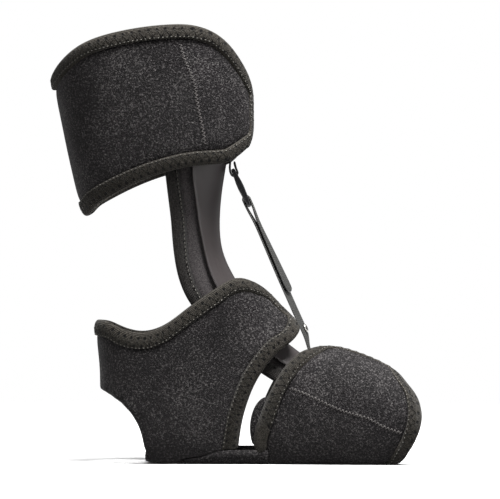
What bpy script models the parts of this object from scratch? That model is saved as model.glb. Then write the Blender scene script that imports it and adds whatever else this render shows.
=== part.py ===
"""Dorsal night splint for the foot: padded wraps, moulded shin plate, tension strap.

Metres, +Z up, toes towards +X, the near side (flap ends) towards -Y.
The origin lies on the sole plane below the ankle.
"""
import math

import bmesh
import bpy
from mathutils import Vector

# Centre of the instep bend, which the wraps and the plate turn about
PIVOT_X = 0.0695
PIVOT_Z = 0.157

# Cloth, edge tape and clearances
CLOTH = 0.005
TAPE_WIDTH = 0.010
TAPE_PROUD = 0.0007
GAP = 0.0004
CORNER = 0.014
LAYER_STEP = CLOTH + 2 * TAPE_PROUD + GAP
WRAP_DEPTH = LAYER_STEP + CLOTH + TAPE_PROUD
SQUARENESS = 0.18
ROUND_STEP = 9.0
# Start and end of each wrap in degrees round it, from the front over the far side,
# the turn by which its inner layer has come out, and the stations round a corner
CALF_TURN = (-52.0, 338.0)
ANKLE_TURN = (-38.0, 345.0)
FOOT_TURN = (-40.0, 350.0)
TUCK_OUT = 5.0
CORNER_TURNS = (20.0, 50.0, 88.0)
CALF_ROWS = 5
ANKLE_ROWS = 7
FOOT_ROWS_ACROSS = 6
TAPE_ROUNDING = 0.0016
# Half angle of the butt joint in the calf's tape, and the turn in which an inner layer
# comes out to the outer one, in radians
TAPE_JOIN = 0.004
TUCK_TURN = 1.1
# Share of a tape's width that is flat, and the least sine of the angle between an edge
# and the direction across the band
TAPE_FLAT = 0.75
LEAST_SLANT = 0.35
# Shares of a turn or a length for reading a surface's slope, and rounds of settling
PROBE = 0.01
LINE_PROBE = 0.001
SETTLE_ROUNDS = 40

# Calf wrap
CALF_RAISE = 0.015
CALF_RISE = 0.132
CALF_SETBACK = 0.0625
CALF_DEPTH = 0.147
CALF_HALF_WIDTH = 0.060
CALF_LOW = PIVOT_Z + CALF_RAISE
CALF_FRONT = PIVOT_X - CALF_SETBACK

# Ankle wrap. Its tape stops this far in degrees from the middle of the sole.
ANKLE_TAPE_STOP = 54.0
ANKLE_FRONT_REACH = 0.0642
ANKLE_BACK_REACH = 0.1877
ANKLE_HALF_WIDTH = 0.043

# Foot wrap
FOOT_SETBACK = 0.0709
FOOT_SPAN = 0.1202
FOOT_TOP = 0.084
FOOT_HALF_WIDTH = 0.052
FOOT_REAR = PIVOT_X - FOOT_SETBACK
# How far down the side the sole's corner starts, how round it is, and where along the
# foot the rear tape ends above the sole bridge
SOLE_CORNER = 0.72
SOLE_ROUNDNESS = 1.5
REAR_TAPE_PLACE = 0.02

# Shin plate and its pad
SHELL_REACH = 0.090
SHELL_WALL = 0.0028
SHELL_RADIUS = 0.046
PLATE_END_ROUND = 0.022
PLATE_ROWS = 8
PLATE_END_INSET = 0.4
PLATE_END_WIDTH = 0.45
PLATE_EDGE_THINNING = 0.35
PLATE_SEAT = 0.0001
LEAST_COLUMN = 0.002
PAD_WALL = 0.007
PAD_TAPE_WIDTH = 0.0113
PAD_TAPE_FLAT = 0.7
PAD_CORNER = 0.3
PAD_TAPE_JOIN = 0.01
PAD_END_STATIONS = 3

# Tension strap
WEBBING_WIDTH = 0.020
WEBBING_WALL = 0.0017
STRAP_TOP = (-0.0817, 0.048)
STRAP_FOOT = (-0.0255, -0.075)
STRAP_ROOM = 0.0024
STRAP_TWIST = 12.0
STRAP_COLUMNS = 13
TAIL_SHARE = 0.72
LAYER_CLOSING = 0.010
BUCKLE_LENGTH = 0.029
BUCKLE_WIDTH = 0.027
BUCKLE_THICKNESS = 0.0052
BAR_THICKNESS = 0.0022
BAR_MARKS = (0.10, 0.80)
# Shares of the buckle's length and width at which its frame has an edge, the cells of
# that net that are open, and the share of its thickness at its ends
BUCKLE_STATIONS = (0.0, BAR_MARKS[0], 0.36, 0.50, BAR_MARKS[1], 0.92, 1.0)
BUCKLE_SIDES = (-0.5, -0.40, 0.0, 0.40, 0.5)
BUCKLE_SLOTS = ((1, 1), (1, 2), (3, 1), (3, 2))
BUCKLE_END_SHARE = 0.45
BUCKLE_END_ROUND = 0.04
HAIRPIN_STEPS = 8
# The strap on the plate: its reach from the foot of the straight run, its stations, and
# the bend where it leaves the plate. Twist shares are along the straight run.
STRAP_LANDING = 0.0215
STRAP_LANDING_STEP = 0.0037
STRAP_LANDING_LIFT = 0.00005
STRAP_BEND = 0.008
STRAP_KNEE = (0.0018, 0.0012)
KNEE_STEPS = 6
TWIST_IN = (0.1, 0.75)
TWIST_OUT = (0.92, 1.08)
# The anchor on the plate: its stations before the plate's fourth section, the lift of
# each, its lead to the bar and its tail
ANCHOR_START = 0.008
ANCHOR_STEP = 0.006
ANCHOR_LIFT = 0.0001
ANCHOR_LEAD = 0.001
ANCHOR_TAIL = 0.0045
ANCHOR_SPREAD = 1.6
# Rivet profile: radius share and height share, from its foot to its crown
RIVET_PROFILE = ((1.0, 0.0), (1.0, 0.35), (0.72, 0.85), (0.3, 1.0))
RIVET_RADIUS = 0.0032
RIVET_HEIGHT = 0.0014
RIVET_PLACE = 0.905
RIVET_SIDES = 14

# Sole bridge and arch flap
BRIDGE_LENGTH = 0.050
BRIDGE_LIP = 0.010
BRIDGE_COLUMNS = 8
BRIDGE_ROWS = 12
BRIDGE_LOW_SHARE = 0.36
BRIDGE_RISE_SHARE = 0.5
BRIDGE_WALL = 0.7 * CLOTH
ARCH_FLAP_WALL = 0.0025
ARCH_FLAP_LOW = 0.012
ARCH_FLAP_HIGH = 0.047
ARCH_FLAP_MIDDLE = 0.29
ARCH_FLAP_REACH = 0.024
ARCH_FLAP_ROWS = 10
ARCH_FLAP_COLUMNS = 4
ARCH_FLAP_SETBACK = 0.001
ARCH_FLAP_BULGE = 0.6
ARCH_FLAP_DEPTH = 0.2

# Calf outline. Heights are shares of CALF_RISE, depths are shares of CALF_DEPTH from the front.
CALF_BACK_BY_HEIGHT = ((0.0, 0.844), (0.152, 0.878), (0.323, 0.915), (0.53, 0.952), (0.742, 1.0),
                       (1.0, 1.04))
CALF_SIDE_BY_HEIGHT = ((0.0, 0.83), (0.5, 0.94), (1.0, 1.0))
CALF_TOP_BY_DEPTH = ((0.0, 0.72), (0.034, 0.735), (0.048, 0.755), (0.095, 0.846), (0.156, 0.923),
                     (0.231, 0.975), (0.347, 1.0), (0.463, 0.994), (0.612, 0.973), (0.762, 0.936),
                     (0.857, 0.894), (0.952, 0.811), (1.0, 0.742))
CALF_BOTTOM_BY_DEPTH = ((0.0, 0.36), (0.038, 0.355), (0.057, 0.345), (0.109, 0.295), (0.156, 0.271),
                        (0.306, 0.259), (0.463, 0.22), (0.612, 0.158), (0.728, 0.094), (0.803, 0.043),
                        (0.82, 0.014), (0.844, 0.0))

# Ankle outline. Swings are degrees below the backward level about the bend centre,
# inward shares run from the front face (0) to the back or sole (1).
ANKLE_BACK_BY_SWING = ((15.0, 0.985), (18.0, 1.0), (26.3, 1.037), (30.7, 1.084), (37.4, 1.145),
                       (42.0, 1.15), (60.0, 1.16))
ANKLE_SIDE_BY_SWING = ((18.0, 1.0), (30.0, 0.965), (45.0, 0.90), (64.0, 0.90))
ANKLE_FLAT_BY_SWING = ((28.0, 0.0), (45.0, 1.0))
ANKLE_COLLAR_BY_SHARE = ((0.0, 30.0), (0.036, 27.0), (0.066, 23.8), (0.10, 20.8), (0.12, 19.6),
                         (0.161, 19.0), (0.236, 20.0), (0.342, 21.6), (0.436, 23.0), (0.511, 24.1),
                         (0.619, 25.4), (0.695, 25.3), (0.781, 23.9), (0.87, 21.3), (0.935, 19.1),
                         (1.0, 18.0))
ANKLE_ARCH_BY_SHARE = ((0.0, 56.0), (0.02, 59.0), (0.036, 61.0), (0.057, 61.5), (0.087, 61.8),
                       (0.149, 60.7), (0.222, 57.8), (0.334, 56.7), (0.421, 56.6), (0.538, 57.4),
                       (0.652, 58.6), (0.769, 60.2), (0.891, 61.8), (1.0, 62.8))
# Heel opening, back along and up from the sole plane below the bend centre, in PIVOT_Z
HEEL_OPENING = ((-0.906, -0.06), (-0.906, 0.005), (-0.910, 0.064), (-0.920, 0.119), (-0.937, 0.172),
                (-0.968, 0.227), (-1.013, 0.273), (-1.060, 0.303), (-1.111, 0.331), (-1.5, 0.34),
                (-1.5, -0.06))

# Foot outline. Places are shares of FOOT_SPAN, heights are shares of FOOT_TOP.
FOOT_RIDGE_BY_PLACE = ((-0.33, 1.15), (0.261, 1.07), (0.394, 1.0), (0.453, 0.99), (0.511, 0.978),
                       (0.589, 0.95), (0.686, 0.901), (0.783, 0.839), (0.86, 0.783), (0.927, 0.73),
                       (1.0, 0.66))
FOOT_SIDE_BY_PLACE = ((-0.33, 0.72), (0.0, 0.77), (0.34, 0.86), (0.68, 0.98), (0.88, 1.0), (1.0, 0.96))
FOOT_REAR_BY_HEIGHT = ((0.0, 0.0), (0.15, 0.02), (0.262, 0.035), (0.381, 0.064), (0.506, 0.095),
                       (0.602, 0.12), (0.643, 0.136), (0.726, 0.165), (0.81, 0.203), (0.893, 0.253),
                       (0.94, 0.29), (0.964, 0.336), (0.978, 0.394), (0.988, 0.45), (1.0, 0.49))
FOOT_TOE_BY_HEIGHT = ((0.0, 0.877), (0.008, 0.888), (0.077, 0.918), (0.174, 0.956), (0.286, 0.985),
                      (0.41, 1.0), (0.492, 0.993), (0.575, 0.977), (0.671, 0.927), (0.782, 0.86),
                      (0.84, 0.79))
FOOT_WAIST = 0.42

# Plate on the shin: height share of the calf wrap, depth share of the calf wrap,
# radius share of SHELL_RADIUS, half angles of plate and pad in degrees
SHIN_ROWS = ((0.83, 0.0865, 1.08, 45.0, 79.0),
             (0.68, 0.0898, 1.06, 48.0, 80.0),
             (0.55, 0.1070, 1.05, 54.0, 82.0),
             (0.37, 0.140, 1.02, 59.0, 85.0))
# Plate over the bend: swing, reach share of SHELL_REACH, radius share, half angles
BEND_ROWS = ((-28.3, 1.090, 0.98, 61.0, 87.0),
             (-13.8, 1.028, 0.92, 52.0, 80.0),
             (-5.7, 1.010, 0.88, 49.0, 78.0),
             (2.3, 1.0, 0.85, 46.0, 80.0),
             (9.8, 0.976, 0.80, 49.0, 88.0),
             (18.5, 0.943, 0.78, 53.0, 91.0),
             (31.4, 0.918, 0.74, 52.0, 88.0),
             (43.0, 0.920, 0.72, 51.0, 82.0),
             (54.2, 0.939, 0.74, 51.0, 78.0),
             (63.5, 0.956, 0.78, 49.0, 72.0))
# Plate over the foot: place share of FOOT_SPAN, radius share, half angles
FOOT_ROWS = ((0.44, 0.90, 43.0, 60.0),
             (0.52, 0.94, 41.0, 57.0),
             (0.62, 0.98, 40.0, 54.0),
             (0.74, 1.0, 38.0, 52.0))


def curve_value(rows, at, column=1):
    """Smooth monotone reading of a column of a table whose first column rises."""
    places = [row[0] for row in rows]
    values = [row[column] for row in rows]
    if at <= places[0]:
        return values[0]
    if at >= places[-1]:
        return values[-1]
    steps = [places[k + 1] - places[k] for k in range(len(rows) - 1)]
    slopes = [(values[k + 1] - values[k]) / steps[k] for k in range(len(rows) - 1)]
    leans = [slopes[0]]
    for k in range(1, len(slopes)):
        same_way = slopes[k - 1] * slopes[k] > 0
        leans.append(2 / (1 / slopes[k - 1] + 1 / slopes[k]) if same_way else 0.0)
    leans.append(slopes[-1])
    k = max(index for index in range(len(steps)) if places[index] <= at)
    share = (at - places[k]) / steps[k]
    rise = 3 * share ** 2 - 2 * share ** 3
    leave = share * (1 - share) ** 2 * steps[k]
    arrive = share ** 2 * (share - 1) * steps[k]
    return values[k] * (1 - rise) + values[k + 1] * rise + leans[k] * leave + leans[k + 1] * arrive


def soft_step(value, start, end):
    """0 before start, 1 after end, smooth between."""
    share = min(max((value - start) / (end - start), 0.0), 1.0)
    return share * share * (3 - 2 * share)


def finish(name, colour, roughness, metallic=0.0):
    """A plain surface."""
    material = bpy.data.materials.new(name)
    material.use_nodes = True
    shader = material.node_tree.nodes["Principled BSDF"]
    shader.inputs["Base Color"].default_value = (*colour, 1.0)
    shader.inputs["Roughness"].default_value = roughness
    shader.inputs["Metallic"].default_value = metallic
    return material


def plate(name, outside, inside, material, openings=()):
    """A closed wall between two nets of points with the same columns and rows."""
    columns = len(outside)
    rows = len(outside[0])
    work = bmesh.new()
    bmesh.ops.create_grid(work, x_segments=columns - 1, y_segments=rows - 1, size=1.0)
    cut = []
    for face in work.faces:
        middle = face.calc_center_median()
        column = int((middle.x + 1) / 2 * (columns - 1))
        row = int((middle.y + 1) / 2 * (rows - 1))
        if (column, row) in openings:
            cut.append(face)
    if cut:
        bmesh.ops.delete(work, geom=cut, context="FACES")
    grown = bmesh.ops.extrude_face_region(work, geom=work.faces[:])
    raised = [item for item in grown["geom"] if isinstance(item, bmesh.types.BMVert)]
    bmesh.ops.translate(work, verts=raised, vec=(0.0, 0.0, 1.0))
    for vert in work.verts:
        column = round((vert.co.x + 1) / 2 * (columns - 1))
        row = round((vert.co.y + 1) / 2 * (rows - 1))
        net = outside if vert.co.z > 0.5 else inside
        vert.co = net[column][row]
    bmesh.ops.recalc_face_normals(work, faces=work.faces[:])
    if work.calc_volume(signed=True) < 0:
        bmesh.ops.reverse_faces(work, faces=work.faces[:])
    mesh = bpy.data.meshes.new(name)
    work.to_mesh(mesh)
    work.free()
    mesh.shade_smooth()
    mesh.set_sharp_from_angle(angle=math.radians(40))
    mesh.materials.append(material)
    piece = bpy.data.objects.new(name, mesh)
    bpy.context.scene.collection.objects.link(piece)
    return piece


def cutter(name, outline, half_width):
    """A prism along Y that cuts what it passes through."""
    work = bmesh.new()
    face = work.faces.new([work.verts.new((x, -half_width, z)) for x, z in outline])
    grown = bmesh.ops.extrude_face_region(work, geom=[face])
    moved = [item for item in grown["geom"] if isinstance(item, bmesh.types.BMVert)]
    bmesh.ops.translate(work, verts=moved, vec=(0.0, 2 * half_width, 0.0))
    bmesh.ops.recalc_face_normals(work, faces=work.faces[:])
    mesh = bpy.data.meshes.new(name)
    work.to_mesh(mesh)
    work.free()
    tool = bpy.data.objects.new(name, mesh)
    tool.hide_render = True
    tool.display_type = "WIRE"
    bpy.context.scene.collection.objects.link(tool)
    return tool


def cut_by(piece, tool):
    """Take the tool's space out of the piece."""
    cut = piece.modifiers.new(tool.name, "BOOLEAN")
    cut.operation = "DIFFERENCE"
    cut.solver = "EXACT"
    cut.object = tool


def foot_side(fall):
    """How far down the side of a flat-soled section lies, for the cosine of its angle."""
    return min(1.0, 1 - max(0.0, 1 - fall / SOLE_CORNER) ** SOLE_ROUNDNESS)


def bow(around):
    """Depth and side shares of a slightly squared oval at an angle round it."""
    fall = math.cos(around)
    side = math.sin(around)
    return fall * (1 + SQUARENESS * side * side), side * (1 + SQUARENESS * fall * fall)


def calf_form(around, height, lift):
    """Calf band surface: level ovals, around from the front over the far side."""
    share = (height - CALF_LOW) / CALF_RISE
    half_depth = CALF_DEPTH * curve_value(CALF_BACK_BY_HEIGHT, share) / 2
    half_width = CALF_HALF_WIDTH * curve_value(CALF_SIDE_BY_HEIGHT, share)
    fall, side = bow(around)
    x = CALF_FRONT - half_depth + (half_depth + lift) * fall
    return Vector((x, (half_width + lift) * side, height))


def ankle_form(around, swing, lift):
    """Ankle surface: sections that fan out about the bend centre."""
    angle = math.radians(swing)
    back = ANKLE_BACK_REACH * curve_value(ANKLE_BACK_BY_SWING, swing)
    if angle > 0.1:
        back = min(back, PIVOT_Z / math.sin(angle))
    middle = (ANKLE_FRONT_REACH + back) / 2
    fall, aside = bow(around)
    fall = -fall
    if fall > 0:
        flat = curve_value(ANKLE_FLAT_BY_SWING, swing)
        fall = fall * (1 - flat) + foot_side(-math.cos(around)) * flat
        reach = middle + (back - middle + lift) * fall
    else:
        reach = middle + (middle - ANKLE_FRONT_REACH + lift) * fall
    side = ANKLE_HALF_WIDTH * curve_value(ANKLE_SIDE_BY_SWING, swing) + lift
    x = PIVOT_X - reach * math.cos(angle)
    z = PIVOT_Z - reach * math.sin(angle)
    return Vector((x, side * aside, z))


def foot_ridge(x):
    """Height of the foot wrap's outer face along its top."""
    return FOOT_TOP * curve_value(FOOT_RIDGE_BY_PLACE, (x - FOOT_REAR) / FOOT_SPAN)


def foot_form(around, x, lift):
    """Forefoot surface: upright sections with a flat sole."""
    ridge = foot_ridge(x)
    waist = FOOT_WAIST * ridge
    fall, aside = bow(around)
    if fall < 0:
        z = waist - (waist + lift) * foot_side(-math.cos(around))
    else:
        z = waist + (ridge - waist + lift) * fall
    side = FOOT_HALF_WIDTH * curve_value(FOOT_SIDE_BY_PLACE, (x - FOOT_REAR) / FOOT_SPAN) + lift
    return Vector((x, side * aside, z))


def settle(guess, follow):
    """The place where a line that depends on its own place settles."""
    place = guess
    for _ in range(SETTLE_ROUNDS):
        place += 0.5 * (follow(place) - place)
    return place


def calf_top(around):
    """Upper edge of the calf band."""
    return settle(CALF_LOW + CALF_RISE, lambda height: CALF_LOW + CALF_RISE * curve_value(
        CALF_TOP_BY_DEPTH, (CALF_FRONT - calf_form(around, height, 0.0).x) / CALF_DEPTH))


def calf_bottom(around):
    """Lower edge of the calf band."""
    return settle(CALF_LOW, lambda height: CALF_LOW + CALF_RISE * curve_value(
        CALF_BOTTOM_BY_DEPTH, (CALF_FRONT - calf_form(around, height, 0.0).x) / CALF_DEPTH))


def ankle_share(around, swing):
    """Share of the way from the instep to the back or sole."""
    point = ankle_form(around, swing, 0.0)
    reach = math.hypot(PIVOT_X - point.x, PIVOT_Z - point.z)
    back = ankle_form(math.pi, swing, 0.0)
    full = math.hypot(PIVOT_X - back.x, PIVOT_Z - back.z)
    return (reach - ANKLE_FRONT_REACH) / (full - ANKLE_FRONT_REACH)


def ankle_collar(around):
    """Upper edge of the ankle wrap."""
    return settle(22.0, lambda swing: curve_value(ANKLE_COLLAR_BY_SHARE, ankle_share(around, swing)))


def ankle_arch(around):
    """Front lower edge of the ankle wrap."""
    return settle(60.0, lambda swing: curve_value(ANKLE_ARCH_BY_SHARE, ankle_share(around, swing)))


def foot_rear(around):
    """Rear edge of the foot wrap."""
    return settle(FOOT_REAR, lambda x: FOOT_REAR + FOOT_SPAN * curve_value(
        FOOT_REAR_BY_HEIGHT, foot_form(around, x, 0.0).z / FOOT_TOP))


def foot_toe(around):
    """Toe edge of the foot wrap."""
    return settle(FOOT_REAR + FOOT_SPAN, lambda x: FOOT_REAR + FOOT_SPAN * curve_value(
        FOOT_TOE_BY_HEIGHT, foot_form(around, x, 0.0).z / FOOT_TOP))


class Wrap:
    """A band wound over itself: its form, its two edges and where it starts and ends."""

    def __init__(self, form, low, high, turn):
        self.form = form
        self.low = low
        self.high = high
        self.start = math.radians(turn[0])
        self.end = math.radians(turn[1])
        self.tuck_out = math.radians(TUCK_OUT)
        self.way = 1 if high(math.pi) > low(math.pi) else -1

    def place(self, around, along, lift):
        """A point on the band, on its inner layer near its start, never below the sole plane."""
        layer = LAYER_STEP * (soft_step(around, self.tuck_out, self.tuck_out + TUCK_TURN) - 1)
        point = self.form(around, along, layer + lift)
        point.z = max(point.z, 0.0)
        return point

    def scales(self, around, along):
        """Length of surface for a unit of around and of along."""
        here = self.form(around, along, 0.0)
        step_around = (self.form(around + PROBE, along, 0.0) - here) / PROBE
        unit = (self.high(around) - self.low(around)) * PROBE
        step_along = (self.form(around, along + unit, 0.0) - here) / unit
        return step_around, step_along

    def inset(self, around, top, width):
        """The edge moved into the band by a width measured on the surface."""
        edge = self.high if top else self.low
        along = edge(around)
        here = self.form(around, along, 0.0)
        beside = self.form(around + PROBE, edge(around + PROBE), 0.0)
        track = beside - here
        across = self.scales(around, along)[1]
        slant = track.cross(across).length / (track.length * across.length)
        step = self.way * width / (across.length * max(slant, LEAST_SLANT))
        return along - step if top else along + step

    def corner(self, at_end, top, turn, width):
        """A point on a rounded corner: turn runs from the edge (0) to the end (90 degrees)."""
        side = -1 if top else 1
        way = 1 if at_end else -1
        limit = self.end if at_end else self.start
        radius = CORNER - width
        around_scale, along_scale = self.scales(limit, (self.low(limit) + self.high(limit)) / 2)
        back = (CORNER - radius * math.sin(turn)) / around_scale.length
        around = limit - way * back
        level = self.inset(around, top, width)
        drop = (CORNER - radius * math.cos(turn) - width) / along_scale.length
        return around, level + side * self.way * drop

    def corner_reach(self, at_end):
        """Where the straight edge gives way to the corner."""
        limit = self.end if at_end else self.start
        scale = self.scales(limit, (self.low(limit) + self.high(limit)) / 2)[0].length
        return limit - (1 if at_end else -1) * CORNER / scale


def rounds(start, end):
    """Angles from start to end, on whole steps between, the same for every piece of a wrap."""
    step = math.radians(ROUND_STEP)
    low = min(start, end)
    high = max(start, end)
    between = []
    for k in range(math.ceil(low / step), math.floor(high / step) + 1):
        if k * step - low > 0.2 * step and high - k * step > 0.2 * step:
            between.append(k * step)
    return [start] + (between if start < end else between[::-1]) + [end]


def wrap_body(name, wrap, material, rows):
    """The padded cloth inside the edge tape."""
    width = TAPE_WIDTH + GAP
    first = wrap.corner_reach(False)
    last = wrap.corner_reach(True)
    turns = [math.radians(angle) for angle in reversed(CORNER_TURNS)]
    edges = []
    for turn in turns:
        around, low = wrap.corner(False, False, turn, width)
        edges.append((around, low, wrap.corner(False, True, turn, width)[1]))
    for around in rounds(first, last):
        edges.append((around, wrap.inset(around, False, width), wrap.inset(around, True, width)))
    for turn in reversed(turns):
        around, low = wrap.corner(True, False, turn, width)
        edges.append((around, low, wrap.corner(True, True, turn, width)[1]))
    outside = []
    inside = []
    for around, low, high in edges:
        alongs = [low + (high - low) * row / rows for row in range(rows + 1)]
        outside.append([wrap.place(around, along, 0.0) for along in alongs])
        inside.append([wrap.place(around, along, -CLOTH) for along in alongs])
    return plate(name, outside, inside, material)


def tape_track(wrap, low_from, low_to, rows):
    """Stations of the edge tape: the outer edge and the inner edge of the tape at each."""
    first = wrap.corner_reach(False)
    last = wrap.corner_reach(True)
    turns = [math.radians(angle) for angle in CORNER_TURNS]

    def run(start, end, top):
        for around in rounds(start, end):
            stations.append(((around, wrap.inset(around, top, 0.0)),
                             (around, wrap.inset(around, top, TAPE_WIDTH))))

    def end_run(at_end, from_top):
        low = [wrap.corner(at_end, False, turns[-1], width) for width in (0.0, TAPE_WIDTH)]
        high = [wrap.corner(at_end, True, turns[-1], width) for width in (0.0, TAPE_WIDTH)]
        for k in range(1, rows):
            share = 1 - k / rows if from_top else k / rows
            stations.append(tuple((a[0], a[1] + (b[1] - a[1]) * share) for a, b in zip(low, high)))

    def turn_corner(at_end, top, angles):
        for angle in angles:
            stations.append((wrap.corner(at_end, top, angle, 0.0),
                             wrap.corner(at_end, top, angle, TAPE_WIDTH)))

    stations = []
    run(low_from, last, False)
    turn_corner(True, False, turns)
    end_run(True, False)
    turn_corner(True, True, turns[::-1])
    run(last, first, True)
    turn_corner(False, True, turns)
    end_run(False, True)
    turn_corner(False, False, turns[::-1])
    run(first, low_to, False)
    return stations


def tape(name, wrap, stations, material):
    """Edge tape as a closed strip with a rounded outer edge."""
    profile = ((0.0, TAPE_PROUD, -CLOTH - TAPE_PROUD),
               (TAPE_FLAT, TAPE_PROUD, -CLOTH - TAPE_PROUD),
               (1.0, -TAPE_ROUNDING, -CLOTH + TAPE_ROUNDING))
    outside = []
    inside = []
    for edge, inner in stations:
        over = []
        under = []
        for share, top, bottom in profile:
            around = inner[0] + (edge[0] - inner[0]) * share
            along = inner[1] + (edge[1] - inner[1]) * share
            over.append(wrap.place(around, along, top))
            under.append(wrap.place(around, along, bottom))
        outside.append(over)
        inside.append(under)
    return plate(name, outside, inside, material)


def build_calf(cloth, tape_cloth):
    """Band round the calf."""
    wrap = Wrap(calf_form, calf_bottom, calf_top, CALF_TURN)
    wrap_body("calf_wrap", wrap, cloth, CALF_ROWS)
    seam = math.radians(180)
    stations = tape_track(wrap, seam + TAPE_JOIN, seam - TAPE_JOIN, CALF_ROWS)
    tape("calf_binding", wrap, stations, tape_cloth)


def build_ankle(cloth, tape_cloth):
    """Wrap round the ankle and under the arch, open at the heel."""
    wrap = Wrap(ankle_form, ankle_arch, ankle_collar, ANKLE_TURN)
    body = wrap_body("ankle_wrap", wrap, cloth, ANKLE_ROWS)
    stop = math.radians(ANKLE_TAPE_STOP)
    stations = tape_track(wrap, math.pi + stop, math.pi - stop, ANKLE_ROWS)
    edge = tape("ankle_binding", wrap, stations, tape_cloth)
    heel = [(PIVOT_X + x * PIVOT_Z, z * PIVOT_Z) for x, z in HEEL_OPENING]
    cut_by(body, cutter("heel_opening", heel, 2 * ANKLE_HALF_WIDTH))
    room = bridge_room()
    cut_by(body, room)
    cut_by(edge, room)


def bridge_lip(x):
    """Height of the sole bridge's side edge."""
    back = FOOT_REAR + TAPE_WIDTH - BRIDGE_LENGTH
    rise = soft_step(x, back, back + BRIDGE_RISE_SHARE * BRIDGE_LENGTH)
    return BRIDGE_LIP * (BRIDGE_LOW_SHARE + (1 - BRIDGE_LOW_SHARE) * rise)


def bridge_room():
    """The space that the sole bridge takes out of the ankle wrap."""
    front = FOOT_REAR + TAPE_WIDTH
    back = front - BRIDGE_LENGTH
    outline = [(front + GAP, -CLOTH), (back - GAP, -CLOTH)]
    for k in range(BRIDGE_COLUMNS + 1):
        x = back + BRIDGE_LENGTH * k / BRIDGE_COLUMNS
        outline.append((x, bridge_lip(x) + GAP))
    outline[2] = (back - GAP, outline[2][1])
    outline[-1] = (front + GAP, outline[-1][1])
    return cutter("bridge_room", outline, 2 * ANKLE_HALF_WIDTH)


def angle_at_height(x, height, lift):
    """Where round the near lower side the foot form passes a height."""
    low = math.radians(180)
    high = math.radians(330)
    for _ in range(SETTLE_ROUNDS):
        middle = (low + high) / 2
        if foot_form(middle, x, lift).z < height:
            low = middle
        else:
            high = middle
    return low


def build_foot(cloth, tape_cloth):
    """Wrap round the forefoot, its flap end on top."""
    wrap = Wrap(foot_form, foot_rear, foot_toe, FOOT_TURN)
    wrap_body("foot_wrap", wrap, cloth, FOOT_ROWS_ACROSS)
    x = FOOT_REAR + REAR_TAPE_PLACE * FOOT_SPAN
    near_stop = angle_at_height(x, BRIDGE_LIP + GAP, 0.0)
    far_stop = 2 * math.pi - near_stop
    stations = tape_track(wrap, near_stop, far_stop, FOOT_ROWS_ACROSS)
    tape("foot_binding", wrap, stations, tape_cloth)


def build_sole_bridge(cloth):
    """Strip under the arch that joins the two lower wraps."""
    front = FOOT_REAR + TAPE_WIDTH
    rows = BRIDGE_ROWS
    nets = ([], [])
    for k in range(BRIDGE_COLUMNS + 1):
        x = front - BRIDGE_LENGTH * (1 - k / BRIDGE_COLUMNS)
        for net, lift in zip(nets, (0.0, -BRIDGE_WALL)):
            near = angle_at_height(x, bridge_lip(x), lift)
            spread = near - math.pi
            net.append([foot_form(math.pi + spread * (2 * row / rows - 1), x, lift)
                        for row in range(rows + 1)])
    outside, inside = nets
    plate("sole_bridge", outside, inside, cloth)


def build_arch_flap(cloth):
    """Rounded inner flap behind the rear edge of the foot wrap, near side."""
    lift = -CLOTH - TAPE_PROUD - GAP
    low = ARCH_FLAP_LOW
    high = ARCH_FLAP_HIGH
    middle = ARCH_FLAP_MIDDLE * FOOT_TOP
    reach = ARCH_FLAP_REACH
    rows = ARCH_FLAP_ROWS
    outside = []
    inside = []
    for row in range(rows + 1):
        height = low + (high - low) * row / rows
        bulge = math.sqrt(max(0.0, 1 - ((height - middle) / reach) ** 2))
        rear = FOOT_REAR + ARCH_FLAP_SETBACK + ARCH_FLAP_BULGE * reach * (1 - bulge)
        front = FOOT_REAR + ARCH_FLAP_DEPTH * FOOT_SPAN
        over = []
        under = []
        for step in range(ARCH_FLAP_COLUMNS + 1):
            x = rear + (front - rear) * step / ARCH_FLAP_COLUMNS
            over.append(foot_form(angle_at_height(x, height, lift), x, lift))
            under.append(foot_form(angle_at_height(x, height, lift), x, lift - ARCH_FLAP_WALL))
        outside.append(over)
        inside.append(under)
    plate("arch_flap", outside, inside, cloth)


def shell_line():
    """The plate's front line with radius and half angles: from the calf to the forefoot."""
    line = []
    for rise, depth, radius, plate_angle, pad_angle in SHIN_ROWS:
        line.append((CALF_FRONT - depth * CALF_DEPTH, CALF_LOW + rise * CALF_RISE,
                     radius, plate_angle, pad_angle))
    for swing, reach, radius, plate_angle, pad_angle in BEND_ROWS:
        angle = math.radians(swing)
        line.append((PIVOT_X - reach * SHELL_REACH * math.cos(angle),
                     PIVOT_Z - reach * SHELL_REACH * math.sin(angle), radius, plate_angle, pad_angle))
    for place, radius, plate_angle, pad_angle in FOOT_ROWS:
        x = FOOT_REAR + place * FOOT_SPAN
        level = foot_ridge(x) - WRAP_DEPTH - WEBBING_WALL - STRAP_ROOM
        line.append((x, level, radius, plate_angle, pad_angle))
    marks = [0.0]
    for before, after in zip(line, line[1:]):
        marks.append(marks[-1] + math.hypot(after[0] - before[0], after[1] - before[1]))
    return [(mark, *row) for mark, row in zip(marks, line)]


SHELL_LINE = shell_line()
SHELL_LENGTH = SHELL_LINE[-1][0]
SHELL_COLUMNS = 27


def shell_place(mark, angle, depth):
    """A point behind the plate's front face, at an angle round its bow."""
    ahead = curve_value(SHELL_LINE, mark + LINE_PROBE, 1) - curve_value(SHELL_LINE, mark - LINE_PROBE, 1)
    up = curve_value(SHELL_LINE, mark + LINE_PROBE, 2) - curve_value(SHELL_LINE, mark - LINE_PROBE, 2)
    along = Vector((ahead, 0.0, up)).normalized()
    front = Vector((-along.z, 0.0, along.x))
    radius = SHELL_RADIUS * curve_value(SHELL_LINE, mark, 3)
    centre = Vector((curve_value(SHELL_LINE, mark, 1), 0.0, curve_value(SHELL_LINE, mark, 2)))
    centre -= front * radius
    return centre + (front * math.cos(angle) + Vector((0.0, 1.0, 0.0)) * math.sin(angle)) * (radius - depth)


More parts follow.
